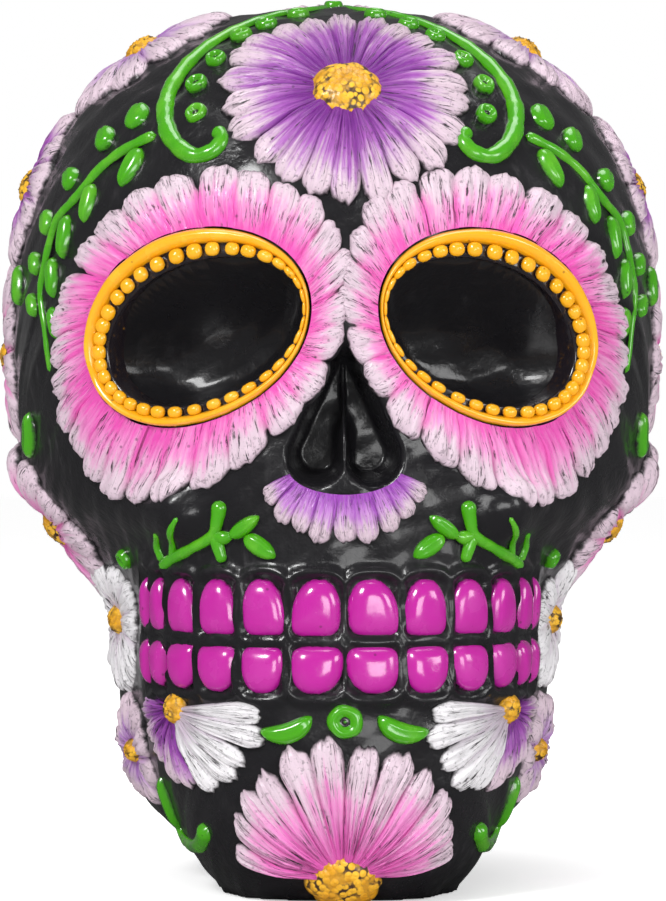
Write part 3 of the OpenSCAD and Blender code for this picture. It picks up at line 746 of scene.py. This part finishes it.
def ringed_dot(work, az, el, r):
    patch = Patch(az, el)
    fine = np.linspace(0, 1, 3 * len(DOT_SECTION))
    out, h, wash = (np.interp(fine, np.linspace(0, 1, len(DOT_SECTION)), c) for c in DOT_SECTION.T)
    a = np.linspace(0, 2 * math.pi, 32, endpoint=False)
    q = np.broadcast_to(out[:, None], (len(out), len(a)))
    uneven = 1 + 0.04 * ripple(a, (1, 0.6), (2, 5), random.uniform(0, 6, 2))
    u, v = r * q * uneven * np.cos(a), r * q * uneven * np.sin(a)
    height = np.broadcast_to(h[:, None], q.shape)
    work.grid(patch.pressed(u, v, height), (q, 0.0, wash[:, None], 0.0), around=True)


# ---------------------------------------------------------------- where everything goes

# side and back flowers: az, el, radius, petals, radius of the centre
TEMPLE = (79, 63, 17.5, 12, 3.8)
SIDE_UPPER = (89, 39, 16, 12, 4)
SIDE_MIDDLE = (100, 13, 18, 12, 3.8)
SIDE_LOWER = (86, -19, 17, 12, 4)
RAMUS = (70, -40, 12.5, 11, 3)
JAW_EDGE = (66, -56, 10, 9, 2.4)
REAR_UPPER = (126, 55, 16.5, 12, 4)
REAR_MIDDLE = (132, 24, 20, 12, 4.6)
REAR_LOWER = (133, -10, 19, 12, 4.2)
CROWN = (180, 72, 17.5, 12, 4.4)
BACK_UPPER = (180, 38, 21, 13, 4.8)
BACK_LOWER = (180, 2, 20.5, 12, 4.6)
CHIN = (0, -44)
JAW_FLOWER = (31.2, -41.4)
FOREHEAD = (1, 52)
SIDES = (("left", True), ("right", False))

# name, shape, paint, slot
PAIRED_FLOWERS = (
    ("temple", TEMPLE, LILAC, "purple_petal"),
    ("side_upper", SIDE_UPPER, PURPLE, "purple_petal"),
    ("side_middle", SIDE_MIDDLE, PINK, "pink_petal"),
    ("side_lower", SIDE_LOWER, PINK, "pink_petal"),
    ("ramus", RAMUS, WHITE, "pale_petal"),
    ("jaw_edge", JAW_EDGE, LILAC, "purple_petal"),
    ("rear_upper", REAR_UPPER, PINK, "pink_petal"),
    ("rear_middle", REAR_MIDDLE, PINK, "pink_petal"),
    ("rear_lower", REAR_LOWER, PURPLE, "purple_petal"),
)
BACK_FLOWERS = (
    ("crown", CROWN, PINK, "pink_petal"),
    ("back_upper", BACK_UPPER, PURPLE, "purple_petal"),
    ("back_lower", BACK_LOWER, PINK, "pink_petal"),
)


def flower_petals(name, shape, paint, slot, mirrored=False):
    az, el, radius, count, centre_r = shape
    work = Relief(mirrored)
    start = random.uniform(0, 30)
    petals(work, az, el, round_oval(0.7 * centre_r), round_oval(radius), count, start, start + 360)
    return work.piece(name, paint, slot)


def flower_centres(shapes, on_both_sides=True, work=None):
    """Domed centres for the flowers listed, on one side or both."""
    work = work or Relief()
    for side in (-1, 1) if on_both_sides else (1,):
        work.side = side
        for az, el, _, _, r in shapes:
            button(work, az, el, r, 2.6)
    return work


def side_and_back_flowers():
    for name, shape, paint, slot in PAIRED_FLOWERS:
        for side_name, mirrored in SIDES:
            flower_petals(f"{name}_petals_{side_name}", shape, paint, slot, mirrored)
    for name, shape, paint, slot in BACK_FLOWERS:
        flower_petals(f"{name}_petals", shape, paint, slot)
    sides = flower_centres((TEMPLE, SIDE_UPPER, SIDE_MIDDLE, SIDE_LOWER))
    sides.piece("side_flower_centres", YELLOW, "yellow")
    jaws = flower_centres((RAMUS, JAW_EDGE))
    jaws.piece("ramus_flower_centres", YELLOW, "yellow")
    backs = flower_centres((REAR_UPPER, REAR_MIDDLE, REAR_LOWER))
    flower_centres((CROWN, BACK_UPPER, BACK_LOWER), False, backs)
    backs.piece("back_flower_centres", YELLOW, "yellow")


EYE_PETALS = 26
NOSE_FAN = (0, -6)
NOSE_FAN_ROOTS = (9.2, 4.6, 0, 0, 0)
NOSE_FAN_TIPS = (14.5, 13, 0, 0, 0)


def eye_and_nose_petals():
    rim = (1.02 * LIP[0], 1.02 * LIP[1], *LIP[2:])
    for side_name, mirrored in SIDES:
        work = Relief(mirrored)
        petals(work, *EYE, rim, EYE_PETAL_TIPS, EYE_PETALS)
        work.piece(f"eye_petals_{side_name}", PINK, "pink_petal")
    work = Relief()
    petals(work, *NOSE_FAN, NOSE_FAN_ROOTS, NOSE_FAN_TIPS, 9, a0=196, a1=344)
    work.piece("nose_petals", NOSE_PURPLE, "purple_petal")


FOREHEAD_TIPS = (21.5, 26, 0, 1.6, 0)


def forehead_flower():
    work = Relief()
    petals(work, *FOREHEAD, round_oval(4.6), FOREHEAD_TIPS, 22)
    work.piece("forehead_petals", PURPLE, "purple_petal")
    work = Relief()
    button(work, *FOREHEAD, r=6.2, h=3, bumps=0.2)
    work.piece("forehead_centre", YELLOW, "yellow")


CHIN_DROP = -18.5   # from the patch's middle down to the chin flower's, which the ground cuts in half
CHIN_CENTRE_EL = -54.5
CHIN_ROOTS = (4.6, 4.6, 0, CHIN_DROP, 0)
CHIN_TIPS = (24.5, 24.5, 0, CHIN_DROP, 0)


def chin_flower():
    work = Relief()
    petals(work, *CHIN, CHIN_ROOTS, CHIN_TIPS, 12, a0=2, a1=178, height=2)
    work.piece("chin_petals", CHIN_PINK, "pink_petal")
    work = Relief()
    button(work, 0, CHIN_CENTRE_EL, r=6.4, h=2.6, bumps=0.12)
    work.piece("chin_centre", YELLOW, "yellow")


# the jaw flowers' two paints: tint, paint, slot, first petal, the petal after the last
JAW_TINTS = (("white", WHITE, "pale_petal", 0, 5), ("purple", PURPLE, "purple_petal", 5, 10))
JAW_TIPS = (17.5, 14, -4.5, 0, 0)
JAW_PETALS = 10


def jaw_flowers():
    """Part flowers beside the chin: their outer petals are purple and their inner ones white."""
    for side_name, mirrored in SIDES:
        node = f"jaw_petals_{side_name}"
        for tint, paint, slot, first, last in JAW_TINTS:
            work = Relief(mirrored)
            petals(work, *JAW_FLOWER, round_oval(2.2), JAW_TIPS, JAW_PETALS, 170, 368, first, last)
            work.piece(f"{node}_{tint}", paint, slot, node)
    work = Relief()
    for side in (-1, 1):
        work.side = side
        button(work, *JAW_FLOWER, r=2.8, h=2.2)
    work.piece("jaw_flower_centres", YELLOW, "yellow")


SCROLL = (
    (12, 84), (18, 78.7), (31, 73.5), (37.5, 65.1), (39.6, 57.9), (39.1, 51.6), (37, 47.2), (33.5, 43.3),
    (28.2, 40.5), (24.3, 41), (22.9, 43), (24.6, 44.6),
)
VINE_DOT_R = 1.9
VINE_DOTS = ((29.7, 47.1), (33, 52.6), (32.3, 58), (31.3, 64.6), (26.8, 68.7), (18.8, 73.8))
SPRAY = (
    (37.2, 43.9), (43.6, 41.8), (48.6, 39.3), (53.3, 35.5), (58.5, 32.5), (60.3, 27.9), (61.8, 22),
    (59.9, 16.8), (58.1, 9.4),
)
# leaves: az, el, length, width, the way they point
SPRAY_LEAVES = (
    (44.5, 47.3, 5.2, 4.6, 80), (51.2, 44.1, 4.8, 4, 60), (40.7, 39, 7, 3.6, 285), (57.8, 38.4, 4.4, 3.8, 50),
    (49.3, 34.2, 6.6, 3.2, 268), (62.8, 32.4, 4.8, 3.4, 60), (54.7, 29.8, 7.2, 3, 266),
    (57.2, 24, 6.8, 2.8, 257), (55.8, 17.2, 5.6, 2.4, 250), (65.3, 26.6, 4.4, 2.8, 60),
    (65, 20.4, 4.4, 2.6, 60),
)
# the sprig's branches: the points of each, and how thick it is at its start, middle and end
CHEEK_STEMS = (
    (((35.1, -24), (31.7, -22), (26.2, -19.3), (22.3, -17.2), (21.1, -14.3), (20.7, -11.6)), (1.1, 0.9, 1.3)),
    (((34.6, -23), (35.6, -20.5), (34, -17.5)), (0.9, 0.8, 0.5)),
    (((31.7, -22), (29.7, -17), (27.3, -13.8)), (0.8, 0.6, 0.4)),
    (((22, -17), (21.1, -19.1), (20.4, -21.2)), (1, 1.1, 1.1)),
    (((22.3, -17.2), (20.2, -17.4), (18.4, -16.9)), (0.9, 1.1, 0.6)),
)
CHEEK_LEAVES = ((16.4, -15.6, 6, 2.4, 146), (13.8, -18.5, 6, 3, 213))
JAW_HOOK = ((46, -58), (42.5, -60.5), (36.5, -59), (29.5, -55.5), (25, -51.5))
JAW_BLADE = (44, -57, 9, 2.4, 95)
CHIN_LEAF = (9, -39.9, 9, 3.2, 345, 40)
# ringed dots: az, el, radius
CHEEK_DOT = (52, -25.6, 1.8)
CHIN_DOT = (0, -38.8, 2.9)
CROWN_DOT = (0, 88, 1.7)
REAR_LEAVES = (
    (112, 38, 8, 4, 80), (113, -6, 8.5, 4, 100), (110, -23, 7.5, 3.8, 60), (153, 46, 7, 3.6, 60),
    (157, 19, 10, 4.6, 115), (158, -13, 10, 4.6, 70), (73, -1, 8, 3.6, 110), (77, 24, 7, 3.4, 75),
)


def leaves(work, shapes):
    for shape in shapes:
        leaf(work, *shape)


def green_relief():
    for side_name, mirrored in SIDES:
        work = Relief(mirrored)
        stem(work, SCROLL, (0.6, 1.6, 1.3))
        work.piece(f"scroll_vine_{side_name}", GREEN, "green")
        work = Relief(mirrored)
        for az, el in VINE_DOTS:
            ringed_dot(work, az, el, VINE_DOT_R)
        work.piece(f"vine_dots_{side_name}", GREEN, "green")
        work = Relief(mirrored)
        stem(work, SPRAY, (1, 0.9, 0.6))
        leaves(work, SPRAY_LEAVES)
        work.piece(f"leaf_spray_{side_name}", GREEN, "green")
        work = Relief(mirrored)
        for way, widths in CHEEK_STEMS:
            stem(work, way, widths)
        leaves(work, CHEEK_LEAVES)
        work.piece(f"cheek_sprig_{side_name}", GREEN, "green")
        work = Relief(mirrored)
        leaves(work, REAR_LEAVES)
        work.piece(f"rear_leaves_{side_name}", GREEN, "green")

    chin_leaves, hooks, cheek_dots = Relief(), Relief(), Relief()
    for side in (-1, 1):
        chin_leaves.side = hooks.side = cheek_dots.side = side
        leaf(chin_leaves, *CHIN_LEAF)
        stem(hooks, JAW_HOOK, (0.8, 1.2, 1.6))
        leaf(hooks, *JAW_BLADE)
        ringed_dot(cheek_dots, *CHEEK_DOT)
    chin_leaves.piece("chin_leaves", GREEN, "green")
    hooks.piece("jaw_hooks", GREEN, "green")
    cheek_dots.piece("cheek_dots", GREEN, "green")
    work = Relief()
    ringed_dot(work, *CHIN_DOT)
    work.piece("chin_dot", GREEN, "green")
    work = Relief()
    ringed_dot(work, *CROWN_DOT)
    work.piece("crown_dot", GREEN, "green")


# ---------------------------------------------------------------- the pieces

skull()
for side_name, mirrored in SIDES:
    eye_ring(side_name, mirrored)
    eye_beads(side_name, mirrored)
eye_and_nose_petals()
forehead_flower()
chin_flower()
jaw_flowers()
side_and_back_flowers()
for row in (UPPER, LOWER):
    teeth(row)
green_relief()

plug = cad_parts["base_plug"]
for material_slot in plug.material_slots:
    material_slot.link = "OBJECT"
    material_slot.material = plug_paint()

# ---------------------------------------------------------------- studio


FLOOR_SIZE = 12
FLOOR_DROP = 0.0002                      # keeps the floor clear of the skull's foot
FLOOR_PALE = (0.95, 0.95, 0.95, 1)
FLOOR_IN_REFLECTIONS = (0.1, 0.1, 0.1, 1)   # keeps the gloss black under the jaw
FLOOR_GLOW = 0.45                        # brings the floor up to the backdrop's white


def studio_floor():
    """A matt pale floor, darker in reflections and lit up a little where it is seen directly."""
    bpy.ops.mesh.primitive_plane_add(size=FLOOR_SIZE, location=(0, 0, -FLOOR_DROP))
    floor = bpy.context.object
    floor.name = "floor"
    material = bpy.data.materials.new("floor_pale")
    material.use_nodes = True
    shader = material.node_tree.nodes["Principled BSDF"]
    shader.inputs["Roughness"].default_value = 0.9
    shader.inputs["Specular IOR Level"].default_value = 0.1
    shader.inputs["Emission Color"].default_value = (1, 1, 1, 1)
    nodes, links = material.node_tree.nodes, material.node_tree.links
    path = nodes.new("ShaderNodeLightPath")
    dim = nodes.new("ShaderNodeMix")
    dim.data_type = "RGBA"
    dim.inputs[6].default_value = FLOOR_PALE
    dim.inputs[7].default_value = FLOOR_IN_REFLECTIONS
    links.new(path.outputs["Is Glossy Ray"], dim.inputs[0])
    links.new(dim.outputs[2], shader.inputs["Base Color"])
    glow = nodes.new("ShaderNodeMath")
    glow.operation = "MULTIPLY"
    glow.inputs[1].default_value = FLOOR_GLOW
    links.new(path.outputs["Is Camera Ray"], glow.inputs[0])
    links.new(glow.outputs[0], shader.inputs["Emission Strength"])
    floor.data.materials.append(material)


def soft_box(name, place, size, power):
    """A square area light at place, turned towards the middle of the skull."""
    light = bpy.data.lights.new(name, "AREA")
    light.shape = "SQUARE"
    light.size = size
    light.energy = power
    lamp = bpy.data.objects.new(name, light)
    lamp.location = place
    towards = Vector(MIDDLE * MM) - Vector(place)
    lamp.rotation_euler = towards.to_track_quat("-Z", "Y").to_euler()
    bpy.context.scene.collection.objects.link(lamp)


def studio_world(seen, strength, in_reflections):
    """An even white room, which gloss reflects more weakly than it lights the object."""
    world = bpy.data.worlds.new("studio")
    world.use_nodes = True
    nodes, links = world.node_tree.nodes, world.node_tree.links
    background = nodes["Background"]
    background.inputs["Color"].default_value = (1, 1, 1, 1)
    path = nodes.new("ShaderNodeLightPath")
    level = nodes.new("ShaderNodeMapRange")
    level.inputs["To Min"].default_value = strength
    level.inputs["To Max"].default_value = in_reflections
    links.new(path.outputs["Is Glossy Ray"], level.inputs["Value"])
    backdrop = nodes.new("ShaderNodeMapRange")
    backdrop.inputs["To Max"].default_value = seen
    links.new(path.outputs["Is Camera Ray"], backdrop.inputs["Value"])
    links.new(level.outputs["Result"], backdrop.inputs["To Min"])
    links.new(backdrop.outputs["Result"], background.inputs["Strength"])
    bpy.context.scene.world = world


def camera(distance, height, yaw, lens):
    """A level camera that looks at the skull's axis from yaw degrees off the front."""
    data = bpy.data.cameras.new("camera")
    data.sensor_fit = "VERTICAL"
    data.sensor_height = 36
    data.lens = lens
    data.clip_start, data.clip_end = 0.05, 50
    eye = bpy.data.objects.new("camera", data)
    turn = math.radians(yaw)
    eye.location = (-distance * math.sin(turn), -distance * math.cos(turn), height)
    eye.rotation_euler = (math.radians(90), 0, -turn)
    bpy.context.scene.collection.objects.link(eye)
    bpy.context.scene.camera = eye


studio_floor()
studio_world(seen=1.0, strength=0.58, in_reflections=0.15)
soft_box("key", (-0.55, -0.8, 0.75), size=0.3, power=8.5)
soft_box("fill", (0.9, -0.6, 0.35), size=0.4, power=3)
soft_box("low", (0.25, -0.9, 0.05), size=0.4, power=3)
soft_box("top", (0.1, 0.1, 1.1), size=0.6, power=4)
camera(distance=0.75, height=0.07246, yaw=1.9, lens=174.1)
bpy.context.scene.view_settings.view_transform = "Standard"
